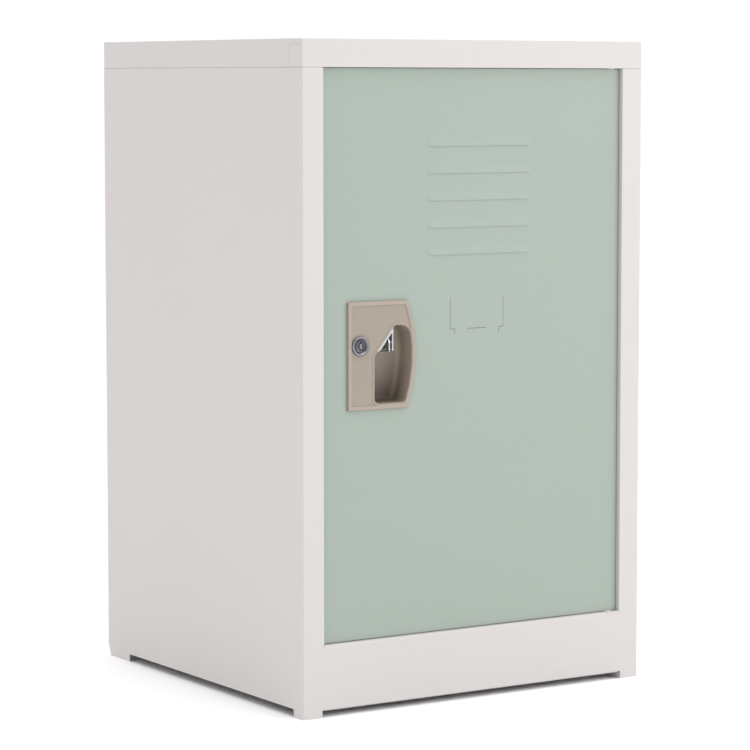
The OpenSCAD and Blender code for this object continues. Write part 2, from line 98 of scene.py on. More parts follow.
# feet
FOOT_H = 7.5 * MM
FRONT_FOOT_L = 17 * MM
REAR_FOOT_L = 44.5 * MM
FOOT_INNER_X = OPENING_X + 2.2 * MM
FOOT_RETURN_D = 26 * MM
FOOT_RETURN_UP = 6 * MM
REAR_BEVEL_H = 12.5 * MM
NOTCH_R = 1.6 * MM

# hinges
LEAF_T = 1.5 * MM
LEAF_PLAY = 0.2 * MM

# screws
HEAD_R = 4 * MM
SCREW_X = screw_high.x - HEAD_R
SCREW_TOP_Z = screw_high.z - HEAD_R

# door
PLATE_T = 2.8 * MM
DOOR_Y = shell_low.y + PLATE_T
DOOR_EASE = 0.3 * MM
LOUVRE_RISE = 0.65 * MM
LOUVRE_SHEET = 0.45 * MM
LIP = 8 * MM
LOUVRE_COUNT = 5
LOUVRE_W = 115 * MM
LOUVRE_H = 9.5 * MM
LOUVRE_PITCH = 24.8 * MM
LOUVRE_X = 4.5 * MM
LOUVRE_LOW_Z = 414 * MM
CARD_X = 2.5 * MM
CARD_HALF_W = 29.5 * MM
CARD_LOW_Z = 345.5 * MM
CARD_H = 29 * MM
CARD_TAB_W = 20 * MM
CARD_FOOT = 5 * MM
SLIT_W = 0.36 * MM

# handle
PLATE_Y = shell_low.y
PLATE_LEFT_X = shell_low.x
PLATE_RIGHT_X = shell_high.x
PLATE_MID_Z = (shell_low.z + shell_high.z) / 2
PLATE_H = shell_high.z - shell_low.z
PLATE_SAG = 9.3 * MM
EDGE_ARC_R = ((PLATE_H / 2) ** 2 + PLATE_SAG ** 2) / (2 * PLATE_SAG)
EDGE_ARC_X = PLATE_RIGHT_X - EDGE_ARC_R
RIM_W = 4.2 * MM
CUP_EDGE = 4.6 * MM
CUP_WALL = 1.6 * MM
CUP_BACK_Y = shell_high.y - CUP_WALL
CUP_LEFT_X = PLATE_LEFT_X + 28.2 * MM
CUP_LOW_Z = PLATE_MID_Z - 44 * MM
CUP_TOP_Z = PLATE_MID_Z + 26.6 * MM
CUP_BEND_Z = PLATE_MID_Z - 0.7 * MM
CUP_SLANT_W = 22 * MM
FIELD_Y = PLATE_Y + 0.7 * MM
LIP_Y = PLATE_Y + 0.05 * MM
LOCK_X = (barrel_low.x + barrel_high.x) / 2
LOCK_Z = (barrel_low.z + barrel_high.z) / 2
BARREL_R = 8 * MM


# ------------------------------------------------------------------ materials

def shader_nodes(name):
    """A new node material: its tree, its Principled shader and its object coordinates."""
    material = bpy.data.materials.new(name)
    material.use_nodes = True
    tree = material.node_tree
    shader = tree.nodes["Principled BSDF"]
    coordinates = tree.nodes.new("ShaderNodeTexCoord").outputs["Object"]
    return material, tree, shader, coordinates


def noise(tree, coordinates, scale, detail=2.0, roughness=0.5):
    """A noise texture's value; scale is in features per metre."""
    node = tree.nodes.new("ShaderNodeTexNoise")
    node.inputs["Scale"].default_value = scale
    node.inputs["Detail"].default_value = detail
    node.inputs["Roughness"].default_value = roughness
    tree.links.new(coordinates, node.inputs["Vector"])
    return node.outputs["Fac"]


def spread(tree, value, low, high, start=0.0, end=1.0):
    """Maps a value from start..end to low..high."""
    node = tree.nodes.new("ShaderNodeMapRange")
    node.inputs["From Min"].default_value = start
    node.inputs["From Max"].default_value = end
    node.inputs["To Min"].default_value = low
    node.inputs["To Max"].default_value = high
    tree.links.new(value, node.inputs["Value"])
    return node.outputs["Result"]


def tint(tree, value, dark, light):
    """Mixes two colours by a value."""
    node = tree.nodes.new("ShaderNodeMix")
    node.data_type = "RGBA"
    node.inputs["A"].default_value = (*dark, 1)
    node.inputs["B"].default_value = (*light, 1)
    tree.links.new(value, node.inputs["Factor"])
    return node.outputs["Result"]


def shade_between(base, amount):
    """A colour a little darker and a little lighter than the base."""
    return [c * (1 - amount) for c in base], [min(1, c * (1 + amount)) for c in base]


def bump(tree, height, distance, strength=1.0, below=None):
    """A bump normal from a height, laid over another normal where one is given."""
    node = tree.nodes.new("ShaderNodeBump")
    node.inputs["Distance"].default_value = distance
    node.inputs["Strength"].default_value = strength
    tree.links.new(height, node.inputs["Height"])
    if below is not None:
        tree.links.new(below, node.inputs["Normal"])
    return node.outputs["Normal"]


def powder_coat(name, base, roughness):
    """Baked powder coat: fine orange peel over a slow waviness of the sheet."""
    material, tree, shader, coordinates = shader_nodes(name)
    cloud = noise(tree, coordinates, 9, 4, 0.6)
    tree.links.new(tint(tree, cloud, *shade_between(base, 0.012)), shader.inputs["Base Color"])
    grain = noise(tree, coordinates, 1400, 2)
    tree.links.new(
        spread(tree, grain, roughness - 0.06, roughness + 0.06, 0.3, 0.7), shader.inputs["Roughness"]
    )
    waves = bump(tree, noise(tree, coordinates, 7, 1), 0.25 * MM, 0.25)
    peel = bump(tree, noise(tree, coordinates, 520, 3, 0.55), 0.03 * MM, 0.5, waves)
    tree.links.new(bump(tree, grain, 0.008 * MM, 0.6, peel), shader.inputs["Normal"])
    shader.inputs["Specular IOR Level"].default_value = 0.5
    return material


def product(tree, first, second):
    """Two values multiplied."""
    node = tree.nodes.new("ShaderNodeMath")
    node.operation = "MULTIPLY"
    tree.links.new(first, node.inputs[0])
    tree.links.new(second, node.inputs[1])
    return node.outputs["Value"]


def lay_over(tree, colour, factor, top):
    """Covers a colour with another one by a factor."""
    node = tree.nodes.new("ShaderNodeMix")
    node.data_type = "RGBA"
    node.inputs["B"].default_value = (*top, 1)
    tree.links.new(factor, node.inputs["Factor"])
    tree.links.new(colour, node.inputs["A"])
    return node.outputs["Result"]


def cup_painted_shade(tree, coordinates, colour):
    """Painted shade: darkens a colour with depth into the finger cup, most of all low down, in place of the
    shade that falls in the hollow.
    """
    axes = tree.nodes.new("ShaderNodeSeparateXYZ")
    tree.links.new(coordinates, axes.inputs["Vector"])
    depth = spread(tree, axes.outputs["Y"], 0, 1, DOOR_Y - MM, CUP_BACK_Y)
    lowness = spread(tree, axes.outputs["Z"], 1, 0, CUP_LOW_Z - 2 * MM, CUP_TOP_Z - 25 * MM)
    return lay_over(tree, colour, product(tree, depth, lowness), CUP_SHADE)


def rim_painted_highlight(tree, coordinates, colour):
    """Painted highlight: lightens the raised rim and lip of the handle, broken up in patches."""
    axes = tree.nodes.new("ShaderNodeSeparateXYZ")
    tree.links.new(coordinates, axes.inputs["Vector"])
    raised = spread(tree, axes.outputs["Y"], 1, 0, PLATE_Y + 0.2 * MM, PLATE_Y + 0.5 * MM)
    patches = spread(tree, noise(tree, coordinates, 60, 3), 0.7, 1, 0.35, 0.6)
    return lay_over(tree, colour, product(tree, raised, patches), RIM_PAINTED_HIGHLIGHT)


def moulded_plastic(name, base, roughness, with_painted_light=False):
    """Spark-eroded moulding: a fine even grain and faint flow marks."""
    material, tree, shader, coordinates = shader_nodes(name)
    flow = noise(tree, coordinates, 45, 3, 0.6)
    colour = tint(tree, flow, *shade_between(base, 0.02))
    # painted light: shade painted into the cup and a highlight painted on the raised rim and lip
    if with_painted_light:
        colour = rim_painted_highlight(tree, coordinates, cup_painted_shade(tree, coordinates, colour))
    tree.links.new(colour, shader.inputs["Base Color"])
    grain = noise(tree, coordinates, 2600, 2)
    tree.links.new(
        spread(tree, grain, roughness - 0.07, roughness + 0.07, 0.3, 0.7), shader.inputs["Roughness"]
    )
    soft = bump(tree, noise(tree, coordinates, 900, 2), 0.02 * MM, 0.4)
    tree.links.new(bump(tree, grain, 0.01 * MM, 0.7, soft), shader.inputs["Normal"])
    return material


def plated_metal(name, base, roughness, grain_scale, stretch=(1, 1, 1), depth=0.004):
    """Plated or brushed metal; stretch draws the grain out along an axis."""
    material, tree, shader, coordinates = shader_nodes(name)
    mapping = tree.nodes.new("ShaderNodeMapping")
    mapping.inputs["Scale"].default_value = stretch
    tree.links.new(coordinates, mapping.inputs["Vector"])
    grain = noise(tree, mapping.outputs["Vector"], grain_scale, 3, 0.6)
    stain = noise(tree, coordinates, 120, 3)
    tree.links.new(tint(tree, stain, *shade_between(base, 0.06)), shader.inputs["Base Color"])
    tree.links.new(
        spread(tree, grain, roughness * 0.6, roughness * 1.5, 0.3, 0.7), shader.inputs["Roughness"]
    )
    tree.links.new(bump(tree, grain, depth * MM, 0.5), shader.inputs["Normal"])
    shader.inputs["Metallic"].default_value = 1
    return material


# linear colours of the shade painted into the handle's cup and of the highlight painted on its raised rim
CUP_SHADE = (0.065, 0.044, 0.031)
RIM_PAINTED_HIGHLIGHT = (0.34, 0.278, 0.231)

MATERIALS = {
    "cabinet_paint": powder_coat("cabinet_paint", (0.54, 0.512, 0.506), roughness=0.42),
    "door_paint": powder_coat("door_paint", (0.296, 0.347, 0.305), roughness=0.46),
    "handle_plastic": moulded_plastic("handle_plastic", (0.292, 0.245, 0.202), roughness=0.46, with_painted_light=True),
    "bright_chrome": plated_metal("bright_chrome", (0.58, 0.59, 0.61), roughness=0.10, grain_scale=500),
    # painted reflection: satin_nickel and lock_face have base colours well below bare metal, standing in for
    # dark surroundings mirrored in them
    "satin_nickel": plated_metal("satin_nickel", (0.22, 0.205, 0.235), roughness=0.26, grain_scale=800),
    "lock_face": plated_metal("lock_face", (0.085, 0.08, 0.095), roughness=0.24, grain_scale=900),
    "zinc_steel": plated_metal(
        "zinc_steel", (0.62, 0.63, 0.65), roughness=0.32, grain_scale=700, stretch=(1, 1, 0.15)
    ),
    "nylon": moulded_plastic("nylon", (0.78, 0.77, 0.73), roughness=0.4),
    "rubber": moulded_plastic("rubber", (0.025, 0.025, 0.027), roughness=0.7),
}


# ------------------------------------------------------------------ mesh helpers

def link_new(name, data):
    """A new object in the scene that shows the data."""
    added = bpy.data.objects.new(name, data)
    bpy.context.scene.collection.objects.link(added)
    return added


def add_object(name, bm, slot, body, replaced=()):
    """Turns a bmesh into a visible piece on a body."""
    bmesh.ops.remove_doubles(bm, verts=bm.verts, dist=1e-6)
    bmesh.ops.recalc_face_normals(bm, faces=bm.faces)
    mesh = bpy.data.meshes.new(name)
    bm.to_mesh(mesh)
    bm.free()
    piece = link_new(name, mesh)
    mesh.materials.append(MATERIALS[slot])
    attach(piece, body)
    if replaced:
        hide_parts(*replaced)
    return piece


def smooth(piece, angle=32):
    """Smooth shading with sharp edges kept, and flat faces kept flat."""
    piece.data.shade_smooth()
    piece.data.set_sharp_from_angle(angle=math.radians(angle))
    weighted = piece.modifiers.new("flat_faces", "WEIGHTED_NORMAL")
    weighted.keep_sharp = True
    weighted.weight = 100
    return piece


def cut(piece, cutter):
    """Takes the cutter's volume out of the piece."""
    mesh = bpy.data.meshes.new("cutter")
    bmesh.ops.recalc_face_normals(cutter, faces=cutter.faces)
    cutter.to_mesh(mesh)
    cutter.free()
    tool = link_new("cutter", mesh)
    modifier = piece.modifiers.new("cut", "BOOLEAN")
    modifier.operation = "DIFFERENCE"
    modifier.solver = "EXACT"
    modifier.use_self = True
    modifier.object = tool
    result = bpy.data.meshes.new_from_object(
        piece.evaluated_get(bpy.context.evaluated_depsgraph_get())
    )
    piece.modifiers.clear()
    piece.data = result
    bpy.data.objects.remove(tool)
    return piece


def box_into(bm, low, high):
    """Adds a plain block to a bmesh."""
    corners = [
        bm.verts.new((x, y, z))
        for x in (low[0], high[0])
        for y in (low[1], high[1])
        for z in (low[2], high[2])
    ]
    for a, b, c, d in ((0, 1, 3, 2), (4, 6, 7, 5), (0, 4, 5, 1), (2, 3, 7, 6), (0, 2, 6, 4), (1, 5, 7, 3)):
        bm.faces.new((corners[a], corners[b], corners[c], corners[d]))


def arc_points(centre, radius, start, end, steps):
    """Points on an arc, angles in degrees."""
    angles = [math.radians(start + (end - start) * i / steps) for i in range(steps + 1)]
    return [(centre[0] + radius * math.cos(a), centre[1] + radius * math.sin(a)) for a in angles]


def round_corners(points, radii, steps=6, closed=True):
    """Replaces each corner that has a radius by an arc of the same number of points."""
    rounded = []
    count = len(points)
    for i, point in enumerate(points):
        radius = radii[i] if isinstance(radii, (list, tuple)) else radii
        if radius <= 0 or (not closed and i in (0, count - 1)):
            rounded.append(tuple(point))
            continue
        here = Vector(point)
        back = (Vector(points[i - 1]) - here).normalized()
        ahead = (Vector(points[(i + 1) % count]) - here).normalized()
        half = back.angle(ahead) / 2
        centre = here + (back + ahead).normalized() * (radius / math.sin(half))
        first = here + back * (radius / math.tan(half)) - centre
        last = here + ahead * (radius / math.tan(half)) - centre
        sweep = first.angle(last)
        for k in range(steps + 1):
            share = k / steps
            if sweep < 1e-6:
                arm = first
            else:
                turned = math.sin((1 - share) * sweep) * first + math.sin(share * sweep) * last
                arm = turned / math.sin(sweep)
            rounded.append(tuple(centre + arm))
    return rounded


def inset(points, distance):
    """Moves every edge of a counter-clockwise outline inwards by the distance."""
    moved = []
    count = len(points)
    for i, point in enumerate(points):
        before = (Vector(point) - Vector(points[i - 1])).normalized()
        after = (Vector(points[(i + 1) % count]) - Vector(point)).normalized()
        n0 = Vector((-before.y, before.x))
        n1 = Vector((-after.y, after.x))
        moved.append(tuple(Vector(point) + (n0 + n1) * (distance / (1 + n0.dot(n1)))))
    return moved


def band(path, widths):
    """The closed outline of a line given a width at each of its points."""
    left, right = [], []
    last = len(path) - 1
    for i, point in enumerate(path):
        before = (path[max(i, 1)] - path[max(i, 1) - 1]).normalized()
        after = (path[min(i, last - 1) + 1] - path[min(i, last - 1)]).normalized()
        n0 = Vector((-before.y, before.x))
        n1 = Vector((-after.y, after.x))
        step = (n0 + n1) * (widths[i] / 2 / (1 + n0.dot(n1)))
        left.append(point + step)
        right.append(point - step)
    return left + right[::-1]


def sheet_outline(centreline, radius=BEND_R, thickness=SHEET):
    """The closed outline of a folded sheet, from the corners of its middle line."""
    steps = 5
    path = [Vector(p) for p in round_corners(centreline, radius - HALF, steps, closed=False)]
    path.insert(1, path[0] + (path[1] - path[0]).normalized() * EDGE_R)
    path.insert(len(path) - 1, path[-1] + (path[-2] - path[-1]).normalized() * EDGE_R)
    widths = [thickness] * len(path)
    widths[0] = widths[-1] = thickness - 2 * EDGE_R
    return band(path, widths)


def extrude_into(bm, outline, place, start, end):
    """Sweeps an outline of (u, v) points from start to end; place turns (u, v, w) into a point."""
    bottom = [bm.verts.new(place(u, v, start)) for u, v in outline]
    top = [bm.verts.new(place(u, v, end)) for u, v in outline]
    count = len(outline)
    for i in range(count):
        j = (i + 1) % count
        bm.faces.new((bottom[i], bottom[j], top[j], top[i]))
    bm.faces.new(bottom[::-1])
    bm.faces.new(top)


def along_z(u, v, w):
    """Place for an outline in (x, y) that is swept upwards."""
    return (u, v, w)


def along_x(u, v, w):
    """Place for an outline in (y, z) that is swept across."""
    return (w, u, v)


def along_y(u, v, w):
    """Place for an outline in (x, z) that is swept back."""
    return (u, w, v)


def loop_at(bm, outline, y):
    """Vertices of an outline in (x, z) at a depth y."""
    return [bm.verts.new((u, y, v)) for u, v in outline]


def loft(bm, loops):
    """Skins a run of loops that have the same number of points."""
    for a, b in zip(loops, loops[1:]):
        count = len(a)
        for i in range(count):
            j = (i + 1) % count
            bm.faces.new((a[i], a[j], b[j], b[i]))


def fill_between(bm, loops):
    """Fills the flat region bounded by an outer loop and any hole loops."""
    edges = []
    for loop in loops:
        for i, vert in enumerate(loop):
            follower = loop[(i + 1) % len(loop)]
            edges.append(bm.edges.get((vert, follower)) or bm.edges.new((vert, follower)))
    bmesh.ops.triangle_fill(bm, use_beauty=True, use_dissolve=False, edges=edges)


def circle(x, z, radius, steps=48):
    """A circle as an outline in (x, z)."""
    return arc_points((x, z), radius, 0, 360 - 360 / steps, steps - 1)


def lathe_y(bm, x, z, profile, steps=64):
    """Turns a profile of (radius, y) points round the axis along Y; radius 0 closes an end."""
    rings = []
    for radius, y in profile:
        if radius == 0:
            rings.append([bm.verts.new((x, y, z))])
        else:
            rings.append(loop_at(bm, circle(x, z, radius, steps), y))
    for a, b in zip(rings, rings[1:]):
        for i in range(steps):
            j = (i + 1) % steps
            if len(a) == 1:
                bm.faces.new((a[0], b[i], b[j]))
            elif len(b) == 1:
                bm.faces.new((a[i], a[j], b[0]))
            else:
                bm.faces.new((a[i], a[j], b[j], b[i]))


# ------------------------------------------------------------------ cabinet

def add_shells(piece, shells):
    """Joins further closed shells, given as functions that fill a bmesh, to a piece."""
    bm = bmesh.new()
    bm.from_mesh(piece.data)
    for shell in shells:
        shell(bm)
    bmesh.ops.recalc_face_normals(bm, faces=bm.faces)
    bm.to_mesh(piece.data)
    bm.free()


def strip(points, low_z, high_z, side):
    """A folded strip that stands upright; points are drawn for the left side."""
    outline = sheet_outline([(-side * u, v) for u, v in points])
    return lambda bm: extrude_into(bm, outline, along_z, low_z, high_z)


def standing_sheet(bm, points, low_z, high_z):
    """An upright folded sheet whose upper edge is eased on both sides."""
    outline = sheet_outline(points)
    eased = sheet_outline(points, thickness=SHEET - 2 * TOP_CHAMFER)
    levels = [(outline, low_z), (outline, high_z - 1.3 * TOP_CHAMFER), (eased, high_z)]
    loops = [[bm.verts.new((u, v, z)) for u, v in ring] for ring, z in levels]
    loft(bm, loops)
    bm.faces.new(loops[0][::-1])
    bm.faces.new(loops[-1])


def side_panel(name, node, side, with_stop):
    """One folded side; side is -1 for the left and 1 for the right."""
    return_x = -OPENING_X - HALF
    stop_end = [(left_high.x, STOP_Y + HALF)] if with_stop else []
    profile = stop_end + [
        (return_x, STOP_Y + HALF if with_stop else RETURN_Y),
        (return_x, FRONT_Y + HALF),
        (-SIDE_X + HALF, FRONT_Y + HALF),
        (-SIDE_X + HALF, REAR_Y),
    ]
    bm = bmesh.new()
    standing_sheet(bm, [(-side * u, v) for u, v in profile], left_low.z, SIDE_TOP_Z)
    piece = add_object(name, bm, "cabinet_paint", "cabinet", [node])
    cut(piece, foot_cutter(side))
    if with_stop:
        cut(piece, stop_cutter())
    inner_x = -SIDE_X + SHEET + HALF
    front_tongue_y = FRONT_Y + SHEET + HALF
    tongue = [(return_x, front_tongue_y), (inner_x, front_tongue_y), (inner_x, back_low.y)]
    upper_return = [(return_x, front_tongue_y), (return_x, RETURN_Y)]
    flange = [(inner_x - HALF, back_high.y + HALF), (-FLANGE_X, back_high.y + HALF)]
    foot = [(-FOOT_INNER_X - HALF, FRONT_Y + SHEET), (-FOOT_INNER_X - HALF, FRONT_Y + FOOT_RETURN_D)]
    add_shells(piece, [
        strip(tongue, TONGUE_LOW_Z, TOP_Z - SHEET, side),
        strip(upper_return, SIDE_TOP_Z, TOP_Z - SHEET, side),
        strip(flange, FOOT_H, TOP_Z - SHEET, side),
        strip(foot, left_low.z, FOOT_H + FOOT_RETURN_UP, side),
    ])
    return smooth(piece)


def foot_cutter(side):
    """What is cut away below a side panel, between and beside its feet."""
    bm = bmesh.new()
    low_z = -10 * MM
    start = FRONT_Y + FRONT_FOOT_L
    end = REAR_Y - REAR_FOOT_L
    outer = side * (SIDE_X + 5 * MM)
    inner = side * (SIDE_X - 5 * MM)
    # the long gap between the feet, with small rounded upper corners
    gap = [(start, low_z), (end, low_z), (end, FOOT_H), (start, FOOT_H)]
    extrude_into(bm, round_corners(gap, [0, 0, NOTCH_R, NOTCH_R], 5), along_x, outer, inner)
    # the stile beside the foot, its return and the stop lip
    far_x = 140 * MM
    beside = [(FOOT_INNER_X, low_z), (FOOT_INNER_X, FOOT_H), (far_x, FOOT_H), (far_x, low_z)]
    beside = [(side * u, v) for u, v in round_corners(beside, [0, NOTCH_R, 0, 0], 5)]
    extrude_into(bm, beside, along_y, FRONT_Y - 5 * MM, RETURN_Y + 10 * MM)
    # the bevelled rear corner of the rear foot
    corner = [
        (REAR_Y - 6 * MM, -1 * MM),
        (REAR_Y + 5 * MM, -1 * MM),
        (REAR_Y + 5 * MM, REAR_BEVEL_H),
        (REAR_Y, REAR_BEVEL_H),
    ]
    extrude_into(bm, corner, along_x, outer, inner)
    return bm


def stop_cutter():
    """Keeps the stop lip between the rail and the top cover only."""
    bm = bmesh.new()
    front = (-OPENING_X - 4 * MM, RETURN_Y)
    back = (left_high.x + 5 * MM, STOP_Y + 5 * MM)
    box_into(bm, (*front, -10 * MM), (*back, RAIL_TOP_Z + 2 * MM))
    box_into(bm, (*front, SEAM_Z - 2 * MM), (*back, TOP_Z + 10 * MM))
    return bm


def rounded_pan(low, high, open_face, radius):
    """A five-sided box with rounded folds and no thickness yet."""
    bm = bmesh.new()
    box_into(bm, low, high)
    bm.faces.ensure_lookup_table()
    lid = max(bm.faces, key=lambda f: f.calc_center_median().dot(Vector(open_face)))
    rim = set(lid.edges)
    bmesh.ops.delete(bm, geom=[lid], context="FACES_ONLY")
    folds = [e for e in bm.edges if e not in rim]
    bmesh.ops.bevel(
        bm, geom=folds, offset=radius, segments=5, profile=0.5, affect="EDGES", clamp_overlap=True
    )
    return bm


def thicken(bm, thickness):
    """Gives a one-sided sheet its thickness, inwards from its outer face."""
    bmesh.ops.recalc_face_normals(bm, faces=bm.faces)
    mesh = bpy.data.meshes.new("sheet")
    bm.to_mesh(mesh)
    bm.free()
    sheet = link_new("sheet", mesh)
    solid = sheet.modifiers.new("solid", "SOLIDIFY")
    solid.thickness = thickness
    solid.offset = -1
    solid.use_even_offset = True
    solid_mesh = bpy.data.meshes.new_from_object(
        sheet.evaluated_get(bpy.context.evaluated_depsgraph_get())
    )
    bpy.data.objects.remove(sheet)
    bm = bmesh.new()
    bm.from_mesh(solid_mesh)
    return bm


def cover_notches():
    """What is cut out of the cover: the hinge leaf, the highest screw heads and the corner slits."""
    bm = bmesh.new()
    box_into(
        bm,
        (bracket_low.x - LEAF_PLAY, cover_low.y - MM, SEAM_Z - 5 * MM),
        (OPENING_X, RETURN_Y, SEAM_Z + LEAF_T),
    )
    for side in (-1, 1):
        reach = HEAD_R + 0.5 * MM
        slot = arc_points((side * SCREW_X, SCREW_TOP_Z), reach, 0, 180, 16)
        slot += [(side * SCREW_X - reach, SEAM_Z - MM), (side * SCREW_X + reach, SEAM_Z - MM)]
        extrude_into(bm, slot, along_y, screw_low.y, cover_high.y + MM)
    # shallow grooves round the front corner tabs of the side skirts
    depth = 0.25 * MM
    groove = 0.15 * MM
    tab_y = FRONT_Y + 22 * MM
    tab_z = TOP_Z - 5.2 * MM
    for side in (-1, 1):
        face_x = side * SIDE_X
        near_x, far_x = face_x - depth, face_x + depth
        box_into(bm, (near_x, tab_y - groove, SEAM_Z - MM), (far_x, tab_y + groove, tab_z))
        box_into(bm, (near_x, FRONT_Y + 4 * MM, tab_z), (far_x, tab_y + groove, tab_z + 2 * groove))
    return bm


def top_cover():
    """Pan with folded edges; its front skirt is the rail above the door."""
    bm = thicken(rounded_pan(cover_low, cover_high, (0, 0, -1), BEND_R), SHEET)
    piece = add_object("cover", bm, "cabinet_paint", "cabinet", ["top_cover"])
    flange = [(FRONT_Y + SHEET, SEAM_Z + HALF), (RETURN_Y - 2 * MM, SEAM_Z + HALF)]
    end_x = OPENING_X - 0.3 * MM
    add_shells(piece, [lambda bm: extrude_into(bm, sheet_outline(flange), along_x, -end_x, end_x)])
    return smooth(cut(piece, cover_notches()))


def bottom_rail():
    """Kick rail: face, folds above and below, and an end flange at each side."""
    section = [
        (FRONT_Y + RAIL_FLANGE_W, rail_low.z + HALF),
        (FRONT_Y + HALF, rail_low.z + HALF),
        (FRONT_Y + HALF, rail_high.z - HALF),
        (rail_high.y, rail_high.z - HALF),
    ]
    bm = bmesh.new()
    extrude_into(bm, sheet_outline(section, RAIL_BEND_R), along_x, rail_low.x, rail_high.x)
    for side in (-1, 1):
        end_x = side * (rail_high.x - HALF)
        flange = [(end_x, FRONT_Y + SHEET), (end_x, RETURN_Y)]
        extrude_into(bm, sheet_outline(flange), along_z, rail_low.z + RAIL_BEND_R, rail_high.z - RAIL_BEND_R)
    piece = add_object("kick_rail", bm, "cabinet_paint", "cabinet", ["bottom_rail"])
    notch = bmesh.new()
    box_into(
        notch,
        (bracket_low.x - LEAF_PLAY, FRONT_Y - MM, RAIL_TOP_Z - LEAF_T),
        (OPENING_X, RETURN_Y - 1.8 * MM, RAIL_TOP_Z + MM),
    )
    cut(piece, notch)
    # welded and ground seams where the rail meets the stiles
    seams = [lambda bm, side=side: weld_seam(bm, side) for side in (-1, 1)]
    add_shells(piece, seams)
    return smooth(piece)


def weld_seam(bm, side):
    """A flush strip that fills the groove between the rail and a stile."""
    half_w = 1.3 * MM
    face_y = FRONT_Y + 0.02 * MM
    low = (side * OPENING_X - half_w, face_y, FOOT_H)
    high = (side * OPENING_X + half_w, face_y + 0.7 * MM, rail_high.z - RAIL_BEND_R)
    box_into(bm, low, high)


# ------------------------------------------------------------------ door

def louvre_height(u, v):
    """How far a hood stands out: u runs along it, v up it, both from 0 to 1."""
    from_end = min(u, 1 - u) * LOUVRE_W / (5 * MM)
    along = math.sin(min(1, from_end) * math.pi / 2) ** 0.7
    up = (0.5 + 0.5 * math.cos(math.pi * v)) ** 1.3
    return LOUVRE_RISE * along * up


def add_louvre(bm, low_z):
    """One pressed hood that opens downwards, as a thin closed shell."""
    columns, rows = 60, 10
    grids = []
    for depth in (0, LOUVRE_SHEET):
        grid = []
        for j in range(rows + 1):
            v = j / rows
            row = []
            for i in range(columns + 1):
                u = 0.5 - 0.5 * math.cos(math.pi * i / columns)
                x = LOUVRE_X + (u - 0.5) * LOUVRE_W
                row.append(bm.verts.new((x, DOOR_Y + depth - louvre_height(u, v), low_z + v * LOUVRE_H)))
            grid.append(row)
        grids.append(grid)
    front, back = grids
    for j in range(rows):
        for i in range(columns):
            bm.faces.new((front[j][i], front[j][i + 1], front[j + 1][i + 1], front[j + 1][i]))
            bm.faces.new((back[j][i], back[j + 1][i], back[j + 1][i + 1], back[j][i + 1]))
    rim_front = front[0] + [r[-1] for r in front[1:]] + front[-1][-2::-1] + [r[0] for r in front[-2:0:-1]]
    rim_back = back[0] + [r[-1] for r in back[1:]] + back[-1][-2::-1] + [r[0] for r in back[-2:0:-1]]
    loft(bm, [rim_front, rim_back])


def louvre_zs():
    """The louvres' lower edges."""
    return [LOUVRE_LOW_Z + i * LOUVRE_PITCH for i in range(LOUVRE_COUNT)]


def door_openings():
    """Everything that is cut through the door's face."""
    bm = bmesh.new()
    y0 = DOOR_Y - 5 * MM
    y1 = DOOR_Y + 3 * MM
    for low_z in louvre_zs():
        box_into(bm, (LOUVRE_X - LOUVRE_W / 2, y0, low_z), (LOUVRE_X + LOUVRE_W / 2, y1, low_z + LOUVRE_H))
    for side in (-1, 1):
        x = CARD_X + side * CARD_HALF_W
        foot_x = x - side * CARD_FOOT
        path = [
            (x, CARD_LOW_Z + CARD_H),
            (x, CARD_LOW_Z),
            (foot_x, CARD_LOW_Z),
            (foot_x, CARD_LOW_Z - CARD_FOOT),
        ]
        extrude_into(bm, band([Vector(p) for p in path], [SLIT_W] * len(path)), along_y, y0, y1)
    tab = CARD_TAB_W / 2
    box_into(bm, (CARD_X - tab, y0, CARD_LOW_Z - SLIT_W), (CARD_X + tab, y1, CARD_LOW_Z))
    box_into(bm, (CARD_X - tab - SLIT_W, y0, CARD_LOW_Z - 3 * MM), (CARD_X - tab, y1, CARD_LOW_Z))
    extrude_into(bm, cup_outline(-CUP_WALL - 0.4 * MM), along_y, y0, y1)
    extrude_into(bm, circle(LOCK_X, LOCK_Z, BARREL_R + 0.5 * MM), along_y, y0, y1)
    pin_x = (pin_low.x + pin_high.x) / 2
    pin_y = (pin_low.y + pin_high.y) / 2
    pin_r = (pin_high.x - pin_low.x) / 2
    extrude_into(
        bm, [(pin_x + u, pin_y + v) for u, v in circle(0, 0, pin_r + 0.05 * MM, 32)], along_z,
        door_low.z - MM, door_high.z + MM,
    )
    return bm


def door_panel():
    """Folded pan with its lips, louvres and cut-outs."""
    # the rounded folds need less room to swing than the solid's sharp ones
    low = Vector((door_low.x, DOOR_Y, door_low.z - DOOR_EASE))
    high = door_high + Vector((DOOR_EASE, 0, DOOR_EASE))
    bm = thicken(rounded_pan(low, high, (0, 1, 0), BEND_R), SHEET)
    lip_y = door_high.y - HALF
    # inward lips along the back of the four flanges
    for side in (-1, 1):
        x0 = door_low.x + HALF if side < 0 else door_high.x - HALF
        lip = [(x0 - side * 0.01 * MM, lip_y), (x0 - side * LIP, lip_y)]
        extrude_into(bm, sheet_outline(lip), along_z, door_low.z + SHEET, door_high.z - SHEET)
        z0 = door_low.z + HALF if side < 0 else door_high.z - HALF
        lip = [(lip_y, z0), (lip_y, z0 - side * LIP)]
        extrude_into(bm, sheet_outline(lip), along_x, door_low.x + LIP, door_high.x - LIP)
    piece = add_object("door_sheet", bm, "door_paint", "door", ["door_panel"])
    cut(piece, door_openings())
    bm = bmesh.new()
    bm.from_mesh(piece.data)
    for low_z in louvre_zs():
        add_louvre(bm, low_z)
    bm.to_mesh(piece.data)
    bm.free()
    return smooth(piece)


# ------------------------------------------------------------------ handle

